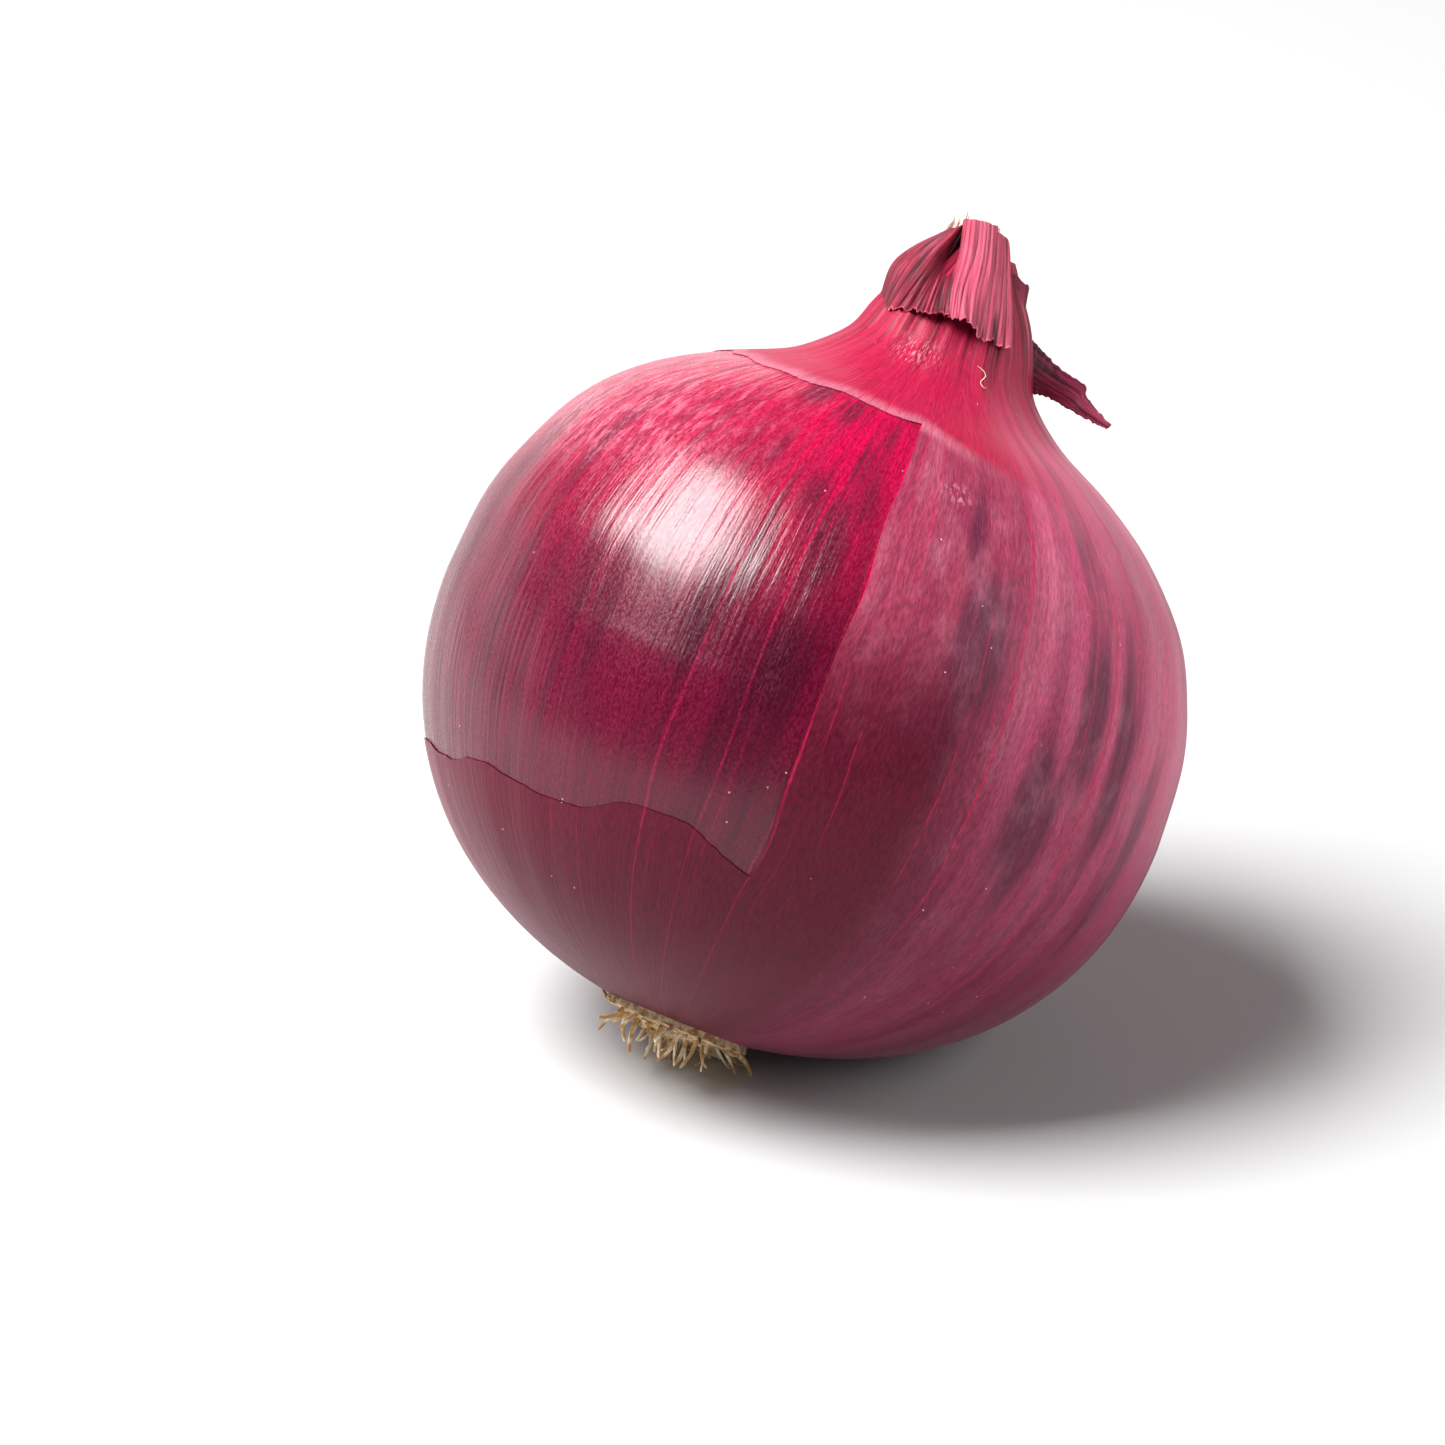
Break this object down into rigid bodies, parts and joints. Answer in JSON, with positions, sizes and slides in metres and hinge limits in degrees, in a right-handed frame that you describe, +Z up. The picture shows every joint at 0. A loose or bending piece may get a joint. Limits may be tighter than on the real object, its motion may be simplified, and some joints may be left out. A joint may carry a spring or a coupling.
{
  "type": "red onion",
  "caption": "Whole red onion lying tilted, with a papery outer skin torn open at the shoulder and dry pleated leaf remains at its neck.",
  "frame": {"origin": "middle of the small flat spot that the onion rests on", "axes": "+Z up from the surface it rests on, -Y towards the onion's front, +X to its right; the onion's own axis leans back and to the right"},
  "size_m": [0.0756, 0.0759, 0.0797],
  "materials": {
    "inner_skin": "gloss",
    "papery_skin": "satin",
    "collar_skin": "matte",
    "dark_dry_skin": "matte"
  },
  "bodies": {
    "root": {"bulb": "inner_skin", "outer_skin": "papery_skin", "neck_collar": "collar_skin", "neck_sheath": "collar_skin", "skin_flap": "dark_dry_skin", "neck_scrap": "dark_dry_skin"}
  },
  "joints": []
}
